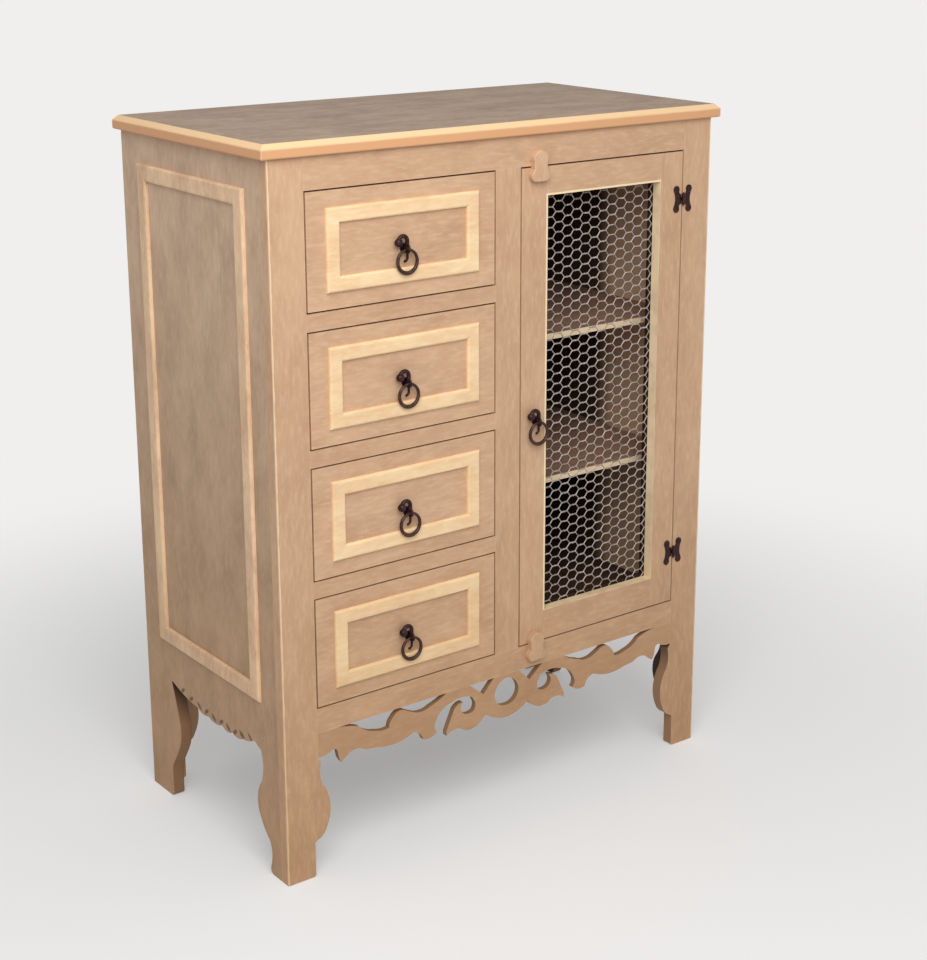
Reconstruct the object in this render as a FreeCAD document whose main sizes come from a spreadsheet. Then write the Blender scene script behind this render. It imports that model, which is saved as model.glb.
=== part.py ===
"""A side cupboard with four drawers, a wire-net door and a pierced apron between shaped legs.

Millimetres. The origin is on the floor, below the middle of the whole cupboard: X runs to the
right as the front is seen, Y to the back and Z up. Every piece is a document object tied to the
sheet of sizes.
"""

import FreeCAD
import Part

import math
import os

import Sketcher
from FreeCAD import Placement, Rotation, Vector

# Driving sizes, in millimetres, as (name, size) groups for the sheet

CARCASE_SIZES = (
    ("overall_height", 1050),
    ("carcase_width", 780),
    ("carcase_depth", 405),
    ("board", 18),
    ("back_board", 6),
    ("top_thickness", 20),
    ("top_side_overhang", 12),
    ("top_front_overhang", 8),
    ("top_back_overhang", 2),
    ("top_bevel", 7),
    ("top_round", 3),
    ("shelf_thickness", 9),
    ("shelf_set_back", 27),
    ("upper_shelf_height", 466),
    ("lower_shelf_height", 242),
)

FRAME_SIZES = (
    ("stile_width", 54),
    ("centre_stile_width", 44),
    ("top_rail_height", 45),
    ("drawer_rail_height", 24),
    ("bottom_rail_height", 37),
    ("plinth_height", 220),
    ("leg_height", 182),
    ("leg_swell", 19),
    ("apron_depth", 71),
    ("apron_thickness", 9),
)

DRAWER_SIZES = (
    ("reveal", 2.5),
    ("drawer_side_height", 130),
    ("drawer_side", 12),
    ("drawer_bottom", 6),
    ("drawer_bottom_lift", 6),
    ("drawer_side_clearance", 2.5),
    ("drawer_back_clearance", 3),
    ("running_gap", 0.3),
    ("guide_gap", 0.5),
    ("runner_height", 18),
    ("runner_cover", 15),
    ("guide_height", 20),
)

MOULDING_SIZES = (
    ("moulding_rise", 5),
    ("moulding_round", 3.5),
    ("drawer_moulding_band", 21),
    ("drawer_moulding_side_margin", 29),
    ("drawer_moulding_end_margin", 22.5),
    ("side_moulding_band", 24),
    ("side_moulding_front_margin", 41),
    ("side_moulding_back_margin", 69),
    ("side_moulding_top_margin", 44),
    ("side_moulding_foot", 262),
)

DOOR_SIZES = (
    ("door_thickness", 16),
    ("door_latch_stile", 47.5),
    ("door_hinge_stile", 44),
    ("door_top_rail", 42),
    ("door_bottom_rail", 47),
    ("net_thickness", 2.4),
    ("net_wire", 2.2),
    ("net_lap", 10),
    ("net_bar", 7),
    ("bead_width", 14),
    ("bead_thickness", 5),
)

PULL_SIZES = (
    ("ring_radius", 16),
    ("ring_wire", 2),
    ("ring_play", 0.3),
    ("pull_drop", 10),
    ("door_pull_drop", 12),
    ("door_pull_inset", 27.5),
    ("rosette_radius", 7),
    ("rosette_thickness", 1.2),
    ("eye_radius", 5.5),
    ("eye_wire", 1.7),
    ("eye_seat", 0.8),
    ("scroll_wire", 2.9),
    ("scroll_radius", 7),
    ("scroll_rise", 11),
    ("ball_radius", 5.8),
    ("ball_drop", 1.5),
    ("hook_wire", 1.8),
    ("hook_drop", 6.5),
    ("hook_radius", 5),
)

HINGE_SIZES = (
    ("leaf_thickness", 1.2),
    ("leaf_height", 41),
    ("leaf_reach", 18),
    ("knuckle_radius", 2.6),
    ("knuckle_stand", 0.4),
    ("knuckle_height", 5.4),
    ("knuckle_gap", 0.3),
    ("pin_radius", 1.3),
    ("pin_play", 0.1),
    ("pin_tip", 1.5),
    ("upper_hinge_inset", 51.5),
    ("lower_hinge_inset", 62.5),
)

BUTTON_SIZES = (
    ("button_width", 33),
    ("button_height", 45),
    ("button_thickness", 10),
    ("button_round", 2),
    ("button_play", 0.4),
    ("button_inset", 27.5),
    ("upper_button_rise", 15),
    ("lower_button_drop", 16),
    ("upper_pivot_height", 37),
    ("lower_pivot_height", 9),
    ("screw_radius", 2),
    ("screw_head_radius", 4),
    ("screw_head_height", 2.2),
    ("screw_bite", 14),
    ("screw_play", 0.1),
    ("overrun", 1),
)

SIZE_GROUPS = (CARCASE_SIZES, FRAME_SIZES, DRAWER_SIZES, MOULDING_SIZES,
               DOOR_SIZES, PULL_SIZES, HINGE_SIZES, BUTTON_SIZES)

DRAWER_COUNT = 4
NET_COLUMNS = 11
NET_ROWS = 27

# The ways a piece is stood up from the level it is drawn on

FLAT = Rotation()
FACING_FRONT = Rotation(Vector(1, 0, 0), 90)
FACING_RIGHT = Rotation(Vector(1, 1, 1), 120)
FACING_LEFT = Rotation(Vector(1, -1, -1), 120)


class Size:
    """A length that knows its number and the sheet formula that gives it."""

    def __init__(self, number, formula):
        self.number = float(number)
        self.formula = formula

    def __add__(self, other):
        return Size(self.number + other.number, f"({self.formula} + {other.formula})")

    def __sub__(self, other):
        return Size(self.number - other.number, f"({self.formula} - {other.formula})")

    def __mul__(self, share):
        return Size(self.number * share, f"{self.formula} * {share}")

    def __truediv__(self, parts):
        return Size(self.number / parts, f"{self.formula} / {parts}")


ZERO = Size(0, "0")
TINY = 1e-7


class Corner:
    """A point where one edge of an outline ends and the next begins."""

    bends = False

    def __init__(self, across, up):
        self.across = across
        self.up = up

    def vector(self):
        """The point as numbers on the drawing plane."""
        return Vector(self.across.number, self.up.number, 0)


class Bend(Corner):
    """A point that an arc passes through between the corners beside it."""

    bends = True


class Sheet:
    """The sheet of sizes, which hands each one out by its name."""

    def __init__(self, document, groups):
        self.sheet = document.addObject("Spreadsheet::Sheet", "Sizes")
        row = 0
        for name, number in (pair for group in groups for pair in group):
            row += 1
            self.sheet.set(f"A{row}", name)
            self.sheet.set(f"B{row}", str(number))
            self.sheet.setAlias(f"B{row}", name)
            setattr(self, name, Size(number, f"Sizes.{name}"))
        document.recompute()


doc = FreeCAD.newDocument("cupboard")
size = Sheet(doc, SIZE_GROUPS)
sub_parts = []


# Tools for making pieces

def bind(item, prop, length):
    """Tie one property of an object to a formula in the sheet."""
    item.setExpression(prop, length.formula)


def place(item, x, y, z, rotation=FLAT):
    """Put an object somewhere, with its place tied to the sheet."""
    item.Placement = Placement(Vector(x.number, y.number, z.number), rotation)
    for axis, length in (("x", x), ("y", y), ("z", z)):
        if length is not ZERO:
            bind(item, f".Placement.Base.{axis}", length)


def keep(item, label):
    """Count an object as a sub-part, under its own name."""
    item.Label = label
    sub_parts.append(item)
    return item


def box(name, x, y, z, at):
    """A rectangular board: its three sizes and the corner it starts from."""
    item = doc.addObject("Part::Box", name)
    for prop, length in (("Length", x), ("Width", y), ("Height", z)):
        setattr(item, prop, length.number)
        bind(item, prop, length)
    place(item, *at)
    return item


def cylinder(name, radius, height, at, rotation=FLAT):
    """A round bar that rises from the point given."""
    item = doc.addObject("Part::Cylinder", name)
    for prop, length in (("Radius", radius), ("Height", height)):
        setattr(item, prop, length.number)
        bind(item, prop, length)
    place(item, *at, rotation)
    return item


def sphere(name, radius, at):
    """A ball about the point given."""
    item = doc.addObject("Part::Sphere", name)
    item.Radius = radius.number
    bind(item, "Radius", radius)
    place(item, *at)
    return item


def torus(name, radius, wire, at, rotation=FLAT, sweep=360):
    """A ring of round wire, or the part of one that a sweep in degrees leaves."""
    item = doc.addObject("Part::Torus", name)
    for prop, length in (("Radius1", radius), ("Radius2", wire)):
        setattr(item, prop, length.number)
        bind(item, prop, length)
    item.Angle3 = sweep
    place(item, *at, rotation)
    return item


def compound(name, pieces, at):
    """Several solids that make one node."""
    item = doc.addObject("Part::Compound", name)
    item.Links = pieces
    place(item, *at)
    return item


def fused(name, pieces, at=(ZERO, ZERO, ZERO), rotation=FLAT):
    """Several shapes grown together into one solid."""
    item = doc.addObject("Part::MultiFuse", name)
    item.Shapes = pieces
    place(item, *at, rotation)
    return item


def cut(name, base, tool, at=(ZERO, ZERO, ZERO), rotation=FLAT):
    """One shape with another taken away."""
    item = doc.addObject("Part::Cut", name)
    item.Base = base
    item.Tool = tool
    place(item, *at, rotation)
    return item


# Outlines, drawn in sketches whose every point is tied to the sheet

def rectangle(width, height, left=ZERO, foot=ZERO):
    """A rectangle by its size and its lower left corner."""
    right = left + width
    head = foot + height
    return [Corner(left, foot), Corner(right, foot), Corner(right, head), Corner(left, head)]


def from_shares(table, width, height, left=ZERO, foot=ZERO):
    """An outline from (kind, share of the width, share of the height) rows."""
    return [kind(left + width * across, foot + height * up) for kind, across, up in table]


def mirrored(outline, width):
    """The same outline seen in a mirror that stands across its width."""
    first, *others = outline
    return [type(point)(width - point.across, point.up) for point in [first, *reversed(others)]]


def edges_of(outline):
    """The edges of a closed outline, as start, point passed or None, and end."""
    edges = []
    start, passed = outline[0], None
    for point in outline[1:] + outline[:1]:
        if point.bends:
            passed = point
            continue
        edges.append((start, passed, point))
        start, passed = point, None
    return edges


def arc_through(start, passed, end):
    """The arc through three points, and whether it runs anticlockwise from the start."""
    centre = Part.Arc(start, passed, end).toShape().Curve.Center
    anticlockwise = (passed - start).cross(end - passed).z > 0
    first, last = (start, end) if anticlockwise else (end, start)
    opening = math.atan2(first.y - centre.y, first.x - centre.x)
    closing = math.atan2(last.y - centre.y, last.x - centre.x)
    if closing < opening:
        closing += math.tau
    circle = Part.Circle(centre, Vector(0, 0, 1), (start - centre).Length)
    return Part.ArcOfCircle(circle, opening, closing), anticlockwise


def pins(geometry, vertex, point):
    """The rules that hold one vertex of a sketch where the sheet puts it."""
    rules = []
    for kind, length, axis in (("DistanceX", point.across, -2), ("DistanceY", point.up, -1)):
        if abs(length.number) < TINY:
            rules.append((Sketcher.Constraint("PointOnObject", geometry, vertex, axis), None))
            continue
        rule = Sketcher.Constraint(kind, -1, 1, geometry, vertex, length.number)
        rules.append((rule, length))
    return rules


def draw(sketch, outline):
    """Draw one closed outline in a sketch, with both ends of every edge held in place."""
    rules = []
    for start, passed, end in edges_of(outline):
        if passed is None:
            line = Part.LineSegment(start.vector(), end.vector())
            geometry = sketch.addGeometry(line, False)
            rules += pins(geometry, 1, start) + pins(geometry, 2, end)
            continue
        arc, forward = arc_through(start.vector(), passed.vector(), end.vector())
        geometry = sketch.addGeometry(arc, False)
        first, last = (start, end) if forward else (end, start)
        guide = sketch.addGeometry(Part.Point(passed.vector()), True)
        rules += pins(geometry, 1, first) + pins(geometry, 2, last) + pins(guide, 1, passed)
        rules.append((Sketcher.Constraint("PointOnObject", guide, 1, geometry), None))
    offset = sketch.ConstraintCount
    sketch.addConstraint([rule for rule, _ in rules])
    for index, (_, length) in enumerate(rules, offset):
        if length is not None:
            bind(sketch, f"Constraints[{index}]", length)


def origin_plane(body, role):
    """One of the planes through a body's own origin."""
    return next(item for item in body.Origin.OriginFeatures if item.Role == role)


def sketched(body, name, outlines):
    """A sketch of closed outlines on the level that a body is drawn on."""
    sketch = body.newObject("Sketcher::SketchObject", name)
    sketch.AttachmentSupport = [(origin_plane(body, "XY_Plane"), "")]
    sketch.MapMode = "FlatFace"
    for outline in outlines:
        draw(sketch, outline)
    return sketch


def profile(name, outlines, thickness, at, rotation):
    """A board sawn to a profile: one outline, and any others as holes in it."""
    body = doc.addObject("PartDesign::Body", name)
    sketch = sketched(body, f"{name}_outline", outlines)
    pad = body.newObject("PartDesign::Pad", f"{name}_pad")
    pad.Profile = sketch
    pad.Length = thickness.number
    bind(pad, "Length", thickness)
    place(body, *at, rotation)
    doc.recompute()
    return body


def level_edges(shape, level):
    """The names of the edges that lie flat at one height of a body's own shape."""
    names = []
    for index, edge in enumerate(shape.Edges, 1):
        heights = [vertex.Z for vertex in edge.Vertexes]
        if all(abs(height - level.number) < TINY for height in heights):
            names.append(f"Edge{index}")
    return names


def soften(body, kind, level, prop, length):
    """Round or bevel every edge of a body that lies at one height."""
    base = body.Tip
    feature = body.newObject(f"PartDesign::{kind}", f"{body.Name}_{kind.lower()}")
    feature.Base = (base, level_edges(base.Shape, level))
    setattr(feature, prop, length.number)
    bind(feature, prop, length)
    body.Tip = feature
    doc.recompute()


def pierce(body, outlines):
    """Saw outlines right through a board."""
    sketch = sketched(body, f"{body.Name}_piercings", outlines)
    whole = body.Tip.Shape.Volume
    pocket = body.newObject("PartDesign::Pocket", f"{body.Name}_pierced")
    pocket.Profile = sketch
    pocket.Type = "ThroughAll"
    pocket.Reversed = True
    doc.recompute()
    if not pocket.Shape.Volume < whole:
        raise RuntimeError(f"the piercings of {body.Name} cut nothing")
    return pocket


def both_sides(body, features):
    """Repeat what is drawn to the right of a body's centre line on its left."""
    whole = body.newObject("PartDesign::Mirrored", f"{body.Name}_mirrored")
    whole.Originals = features
    whole.MirrorPlane = (origin_plane(body, "YZ_Plane"), [""])
    body.Tip = whole
    doc.recompute()


# Levels and places that several pieces share

pivot_stand = size.eye_radius + size.eye_wire + size.rosette_thickness - size.eye_seat
front_reach = pivot_stand + size.eye_radius + size.eye_wire
half_width = size.carcase_width / 2
face = (front_reach - size.carcase_depth - size.top_back_overhang) / 2
frame_back = face + size.board
rear = face + size.carcase_depth
stiles_rear = rear - size.board
panel_front = stiles_rear - size.back_board

carcase_top = size.overall_height - size.top_thickness
opening_top = carcase_top - size.top_rail_height
opening_foot = size.plinth_height + size.bottom_rail_height
opening_height = opening_top - opening_foot
opening_width = (size.carcase_width - size.stile_width * 2 - size.centre_stile_width) / 2
drawers_left = ZERO - half_width + size.stile_width
door_left = size.centre_stile_width / 2
drawer_opening = (opening_height - size.drawer_rail_height * (DRAWER_COUNT - 1)) / DRAWER_COUNT
inner_left = ZERO - half_width + size.board
inner_width = size.carcase_width - size.board * 2
divider_left = ZERO - size.board / 2
inside_depth = panel_front - frame_back


# The carcase boards

keep(profile("top", [rectangle(size.carcase_width + size.top_side_overhang * 2,
                               size.carcase_depth + size.top_front_overhang + size.top_back_overhang)],
             size.top_thickness,
             (ZERO - half_width - size.top_side_overhang, face - size.top_front_overhang, carcase_top),
             FLAT), "top_board")
soften(sub_parts[0], "Chamfer", size.top_thickness, "Size", size.top_bevel)
soften(sub_parts[0], "Fillet", ZERO, "Radius", size.top_round)

keep(box("divider_board", size.board, inside_depth, carcase_top - opening_foot,
         (divider_left, frame_back, opening_foot)), "divider")
keep(box("bottom_boarding", inner_width, inside_depth, size.board,
         (inner_left, frame_back, opening_foot - size.board)), "bottom_board")
keep(box("back_boarding", inner_width, size.back_board, carcase_top - size.plinth_height,
         (inner_left, panel_front, size.plinth_height)), "back_panel")

shelf_left = divider_left + size.board
for number, height in enumerate((size.upper_shelf_height, size.lower_shelf_height), 1):
    keep(box(f"shelf_board_{number}", half_width - size.board - shelf_left,
             inside_depth - size.shelf_set_back, size.shelf_thickness,
             (shelf_left, frame_back + size.shelf_set_back,
              opening_foot + height - size.shelf_thickness)), f"shelf_{number}")

# The stiles, whose feet are shaped legs; the shares are of the leg's reach and height

LEG_SHARES = (
    (Corner, 0.575, 0.0),
    (Bend, 0.62, 0.01),
    (Corner, 0.63, 0.033),
    (Corner, 0.63, 0.291),
    (Corner, 0.685, 0.308),
    (Bend, 0.815, 0.34),
    (Corner, 0.904, 0.396),
    (Bend, 1.0, 0.571),
    (Corner, 0.836, 0.769),
    (Bend, 0.78, 0.879),
    (Corner, 0.808, 0.962),
)

leg_reach = size.stile_width + size.leg_swell


def stile_outline(covered):
    """A left stile and its leg, without the strip that a side board covers."""
    leg = [kind(leg_reach * across - covered, size.leg_height * up) for kind, across, up in LEG_SHARES]
    edge = size.stile_width - covered
    return [Corner(ZERO, ZERO), *leg, Corner(edge, size.leg_height),
            Corner(edge, carcase_top), Corner(ZERO, carcase_top)]


for place_name, covered, back in (("front", ZERO, frame_back), ("back", size.board, rear)):
    outline = stile_outline(covered)
    reach = leg_reach - covered
    keep(profile(f"{place_name}_left_stile", [outline], size.board,
                 (covered - half_width, back, ZERO), FACING_FRONT), f"{place_name}_stile_left")
    keep(profile(f"{place_name}_right_stile", [mirrored(outline, reach)], size.board,
                 (half_width - covered - reach, back, ZERO), FACING_FRONT), f"{place_name}_stile_right")

# The rails of the face frame and the back

frame_width = size.carcase_width - size.stile_width * 2
keep(box("top_rail", frame_width, size.board, size.top_rail_height,
         (drawers_left, face, opening_top)), "front_rail_top")
keep(box("bottom_rail", frame_width, size.board, size.bottom_rail_height,
         (drawers_left, face, size.plinth_height)), "front_rail_bottom")
keep(box("centre_stile", size.centre_stile_width, size.board, opening_height,
         (door_left - size.centre_stile_width, face, opening_foot)), "front_centre_stile")
keep(box("rear_rail", frame_width, size.board, size.bottom_rail_height,
         (drawers_left, stiles_rear, size.plinth_height)), "back_rail_bottom")

# The drawer openings, from the top one down

opening_feet = []
for number in range(DRAWER_COUNT):
    drop = drawer_opening * (number + 1) + size.drawer_rail_height * number
    opening_feet.append(opening_top - drop)

for number, foot in enumerate(opening_feet[:-1], 1):
    keep(box(f"rail_under_drawer_{number}", opening_width, size.board, size.drawer_rail_height,
             (drawers_left, face, foot - size.drawer_rail_height)), f"drawer_rail_{number}")

# The pierced apron; the shares are of half its length and of its depth

APRON_FOOT_SHARES = (
    (Corner, 0.0, 0.014),
    (Bend, 0.057, 0.06),
    (Corner, 0.107, 0.183),
    (Corner, 0.119, 0.239),
    (Corner, 0.134, 0.155),
    (Bend, 0.167, 0.042),
    (Corner, 0.208, 0.0),
    (Bend, 0.232, 0.018),
    (Corner, 0.253, 0.085),
    (Bend, 0.295, 0.113),
    (Corner, 0.336, 0.028),
    (Corner, 0.336, 0.127),
    (Bend, 0.315, 0.352),
    (Corner, 0.292, 0.577),
    (Bend, 0.271, 0.655),
    (Corner, 0.244, 0.676),
    (Bend, 0.256, 0.535),
    (Corner, 0.235, 0.394),
    (Bend, 0.208, 0.373),
    (Corner, 0.185, 0.408),
    (Bend, 0.176, 0.535),
    (Corner, 0.185, 0.648),
    (Bend, 0.196, 0.732),
    (Corner, 0.223, 0.775),
    (Bend, 0.268, 0.796),
    (Corner, 0.31, 0.746),
    (Bend, 0.36, 0.648),
    (Corner, 0.393, 0.437),
    (Bend, 0.4, 0.31),
    (Corner, 0.387, 0.197),
    (Corner, 0.402, 0.141),
    (Bend, 0.432, 0.106),
    (Corner, 0.461, 0.127),
    (Bend, 0.479, 0.282),
    (Corner, 0.515, 0.352),
    (Bend, 0.56, 0.275),
    (Corner, 0.604, 0.239),
    (Bend, 0.658, 0.246),
    (Corner, 0.708, 0.296),
    (Corner, 0.759, 0.324),
    (Corner, 0.789, 0.394),
    (Bend, 0.824, 0.401),
    (Corner, 0.857, 0.324),
    (Corner, 0.884, 0.225),
    (Corner, 0.896, 0.324),
    (Corner, 0.902, 0.479),
    (Bend, 0.914, 0.556),
    (Corner, 0.935, 0.535),
    (Bend, 0.952, 0.5),
    (Corner, 0.973, 0.479),
    (Corner, 1.0, 0.479),
    (Corner, 1.0, 1.0),
    (Corner, 0.0, 1.0),
)

APRON_SLOT_SHARES = (
    (Corner, 0.899, 1.0),
    (Bend, 0.845, 0.955),
    (Corner, 0.792, 0.873),
    (Bend, 0.753, 0.732),
    (Corner, 0.708, 0.662),
    (Bend, 0.673, 0.624),
    (Corner, 0.64, 0.634),
    (Bend, 0.634, 0.746),
    (Corner, 0.619, 0.831),
    (Bend, 0.592, 0.93),
    (Corner, 0.56, 0.923),
    (Bend, 0.53, 0.845),
    (Corner, 0.5, 0.782),
    (Bend, 0.461, 0.761),
    (Corner, 0.42, 0.817),
    (Bend, 0.375, 0.892),
    (Corner, 0.333, 1.0),
)

APRON_NOTCH_SHARES = (
    (Corner, 0.205, 1.0),
    (Corner, 0.131, 0.704),
    (Corner, 0.071, 1.0),
)

APRON_EYE_SHARES = (
    (Corner, 0.0, 0.915),
    (Bend, 0.051, 0.789),
    (Corner, 0.068, 0.577),
    (Bend, 0.048, 0.374),
    (Corner, 0.0, 0.296),
)

half_apron = frame_width / 2


def apron_outline(table):
    """An outline in the right half of the apron."""
    return from_shares(table, half_apron, size.apron_depth)


def open_topped(table):
    """A piercing that runs out through the apron's top edge."""
    outline = apron_outline(table)
    above = size.apron_depth + size.overrun
    return [*outline, Corner(outline[-1].across, above), Corner(outline[0].across, above)]


apron = profile("pierced_apron", [apron_outline(APRON_FOOT_SHARES)], size.apron_thickness,
                (drawers_left + half_apron, face + size.apron_thickness,
                 size.plinth_height - size.apron_depth),
                FACING_FRONT)
apron_features = [apron.Tip, pierce(apron, [open_topped(APRON_SLOT_SHARES),
                                            open_topped(APRON_NOTCH_SHARES),
                                            apron_outline(APRON_EYE_SHARES)])]
both_sides(apron, apron_features)
keep(apron, "front_fret")

# The side boards; the shares are of a board's width and of the plinth's height

SIDE_FOOT_SHARES = (
    (Corner, 0.057, 0.0),
    (Bend, 0.071, 0.012),
    (Corner, 0.075, 0.055),
    (Bend, 0.065, 0.145),
    (Corner, 0.075, 0.227),
    (Bend, 0.114, 0.295),
    (Corner, 0.147, 0.382),
    (Bend, 0.158, 0.473),
    (Corner, 0.134, 0.6),
    (Bend, 0.11, 0.741),
    (Corner, 0.124, 0.845),
    (Corner, 0.163, 0.877),
    (Corner, 0.173, 0.877),
    (Bend, 0.212, 0.845),
    (Corner, 0.251, 0.836),
    (Bend, 0.289, 0.814),
    (Corner, 0.331, 0.827),
    (Bend, 0.37, 0.807),
    (Corner, 0.408, 0.827),
    (Bend, 0.46, 0.805),
    (Corner, 0.512, 0.823),
    (Bend, 0.556, 0.811),
    (Corner, 0.599, 0.832),
    (Bend, 0.703, 0.855),
    (Corner, 0.793, 0.9),
    (Corner, 0.806, 0.9),
    (Bend, 0.775, 0.75),
    (Corner, 0.757, 0.65),
    (Bend, 0.747, 0.536),
    (Corner, 0.76, 0.432),
    (Bend, 0.791, 0.341),
    (Corner, 0.827, 0.25),
    (Corner, 0.832, 0.227),
    (Corner, 0.832, 0.055),
    (Bend, 0.836, 0.014),
    (Corner, 0.845, 0.0),
)

side_width = size.carcase_depth - size.board
side_outline = [Corner(ZERO, ZERO),
                *from_shares(SIDE_FOOT_SHARES, side_width, size.plinth_height),
                Corner(side_width, ZERO), Corner(side_width, carcase_top), Corner(ZERO, carcase_top)]
for hand, left in (("left", ZERO - half_width), ("right", half_width - size.board)):
    keep(profile(f"{hand}_side", [side_outline], size.board,
                 (left, frame_back, ZERO), FACING_RIGHT), f"side_{hand}")


# The raised mouldings, mitred frames with rounded edges

def moulding(name, width, height, band, at, rotation):
    """A raised frame that lies on a face."""
    inner = rectangle(width - band * 2, height - band * 2, band, band)
    body = profile(name, [rectangle(width, height), inner], size.moulding_rise, at, rotation)
    soften(body, "Fillet", size.moulding_rise, "Radius", size.moulding_round)
    return body


side_moulding_width = size.carcase_depth - size.side_moulding_front_margin - size.side_moulding_back_margin
side_moulding_height = carcase_top - size.side_moulding_top_margin - size.side_moulding_foot
side_moulding_front = frame_back + size.side_moulding_front_margin
keep(moulding("left_moulding", side_moulding_width, side_moulding_height, size.side_moulding_band,
              (ZERO - half_width, side_moulding_front + side_moulding_width, size.side_moulding_foot),
              FACING_LEFT), "side_moulding_left")
keep(moulding("right_moulding", side_moulding_width, side_moulding_height, size.side_moulding_band,
              (half_width, side_moulding_front, size.side_moulding_foot),
              FACING_RIGHT), "side_moulding_right")

# The drawers' runners, each an angle of a bearer and a guide; the lowest drawer needs only guides

box_inset = size.reveal + size.drawer_side_clearance
guide_spans = ((inner_left, drawers_left + box_inset - size.guide_gap),
               (drawers_left + opening_width - box_inset + size.guide_gap, divider_left))
runner_pieces = []
for number, foot in enumerate(opening_feet, 1):
    for hand, (start, end) in zip(("left", "right"), guide_spans):
        name = f"runner_{number}_{hand}"
        guide = box(f"{name}_guide", end - start, inside_depth, size.guide_height,
                    (start, frame_back, foot))
        if number == DRAWER_COUNT:
            runner_pieces.append(guide)
            continue
        bearer_start = start if hand == "left" else start - size.guide_gap - size.runner_cover
        bearer = box(f"{name}_bearer", end - start + size.guide_gap + size.runner_cover,
                     inside_depth, size.runner_height,
                     (bearer_start, frame_back, foot - size.runner_height))
        runner_pieces.append(fused(name, [guide, bearer]))
keep(compound("runner_set", runner_pieces, (ZERO, ZERO, ZERO)), "drawer_runners")


# The iron pulls

def pull(name, x, eye_height):
    """A fixed pull: rosette, eye for the ring, scroll with a ball, and hook."""
    out = ZERO - pivot_stand
    neck = size.eye_radius - size.eye_wire
    arch_foot = size.scroll_rise
    hook_foot = ZERO - size.eye_radius - size.hook_drop
    pieces = [
        cylinder(f"{name}_rosette", size.rosette_radius, size.rosette_thickness,
                 (ZERO, ZERO, ZERO), FACING_FRONT),
        torus(f"{name}_eye", size.eye_radius, size.eye_wire, (ZERO, out, ZERO),
              Rotation(Vector(0, 1, 0), 90)),
        cylinder(f"{name}_stem", size.scroll_wire, arch_foot - size.eye_radius,
                 (ZERO, out, size.eye_radius)),
        torus(f"{name}_arch", size.scroll_radius, size.scroll_wire,
              (ZERO - size.scroll_radius, out, arch_foot), FACING_FRONT, 180),
        sphere(f"{name}_ball", size.ball_radius,
               (ZERO - size.scroll_radius * 2, out, arch_foot - size.ball_drop)),
        cylinder(f"{name}_hook_stem", size.hook_wire, size.hook_drop, (ZERO, out, hook_foot)),
        torus(f"{name}_hook", size.hook_radius, size.hook_wire,
              (ZERO - size.hook_radius, out, hook_foot), Rotation(Vector(1, 0, 0), -90), 90),
    ]
    return fused(name, pieces, (x, face, eye_height))


def ring(name, x, eye_height):
    """A ring that hangs in the eye of a pull."""
    wire_height = eye_height - size.eye_radius + size.eye_wire + size.ring_wire + size.ring_play
    return torus(name, size.ring_radius, size.ring_wire,
                 (x, face - pivot_stand, wire_height - size.ring_radius), FACING_FRONT)


# The drawers

front_width = opening_width - size.reveal * 2
front_height = drawer_opening - size.reveal * 2
front_left = drawers_left + size.reveal
box_width = front_width - size.drawer_side_clearance * 2
box_depth = inside_depth - size.drawer_back_clearance
box_inner_width = box_width - size.drawer_side * 2
box_inner_depth = box_depth - size.drawer_side

for number, foot in enumerate(opening_feet, 1):
    name = f"drawer_{number}"
    keep(box(f"{name}_face", front_width, size.board, front_height,
             (front_left, face, foot + size.reveal)), f"{name}_front")
    keep(moulding(f"{name}_frame", front_width - size.drawer_moulding_side_margin * 2,
                  front_height - size.drawer_moulding_end_margin * 2, size.drawer_moulding_band,
                  (front_left + size.drawer_moulding_side_margin, face,
                   foot + size.reveal + size.drawer_moulding_end_margin),
                  FACING_FRONT), f"{name}_moulding")
    sides = [
        box(f"{name}_{hand}_side", size.drawer_side, box_depth, size.drawer_side_height,
            (offset, ZERO, ZERO))
        for hand, offset in (("left", ZERO), ("right", box_width - size.drawer_side))
    ]
    back = box(f"{name}_back", box_inner_width, size.drawer_side, size.drawer_side_height,
               (size.drawer_side, box_inner_depth, ZERO))
    box_corner = (front_left + size.drawer_side_clearance, frame_back, foot + size.running_gap)
    keep(compound(f"{name}_boards", [*sides, back], box_corner), f"{name}_box")
    keep(box(f"{name}_base", box_inner_width, box_inner_depth, size.drawer_bottom,
             (box_corner[0] + size.drawer_side, frame_back,
              box_corner[2] + size.drawer_bottom_lift)), f"{name}_bottom")
    eye_height = foot + drawer_opening / 2 - size.pull_drop
    middle = drawers_left + opening_width / 2
    keep(pull(f"{name}_iron", middle, eye_height), f"{name}_pull")
    keep(ring(f"{name}_hoop", middle, eye_height), f"{name}_ring")

# The door, framed round its net

door_width = front_width
door_height = opening_height - size.reveal * 2
door_foot = opening_foot + size.reveal
door_edge = door_left + size.reveal
net_hole_width = door_width - size.door_latch_stile - size.door_hinge_stile
net_hole_height = door_height - size.door_top_rail - size.door_bottom_rail
net_hole_left = door_edge + size.door_latch_stile
net_hole_foot = door_foot + size.door_bottom_rail

keep(box("latch_stile", size.door_latch_stile, size.door_thickness, door_height,
         (door_edge, face, door_foot)), "door_stile_left")
keep(box("hinge_stile", size.door_hinge_stile, size.door_thickness, door_height,
         (net_hole_left + net_hole_width, face, door_foot)), "door_stile_right")
keep(box("door_head", net_hole_width, size.door_thickness, size.door_top_rail,
         (net_hole_left, face, net_hole_foot + net_hole_height)), "door_rail_top")
keep(box("door_foot", net_hole_width, size.door_thickness, size.door_bottom_rail,
         (net_hole_left, face, door_foot)), "door_rail_bottom")

net_width = net_hole_width + size.net_lap * 2
net_height = net_hole_height + size.net_lap * 2
net_corner = (net_hole_left - size.net_lap, face + size.door_thickness, net_hole_foot - size.net_lap)


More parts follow.
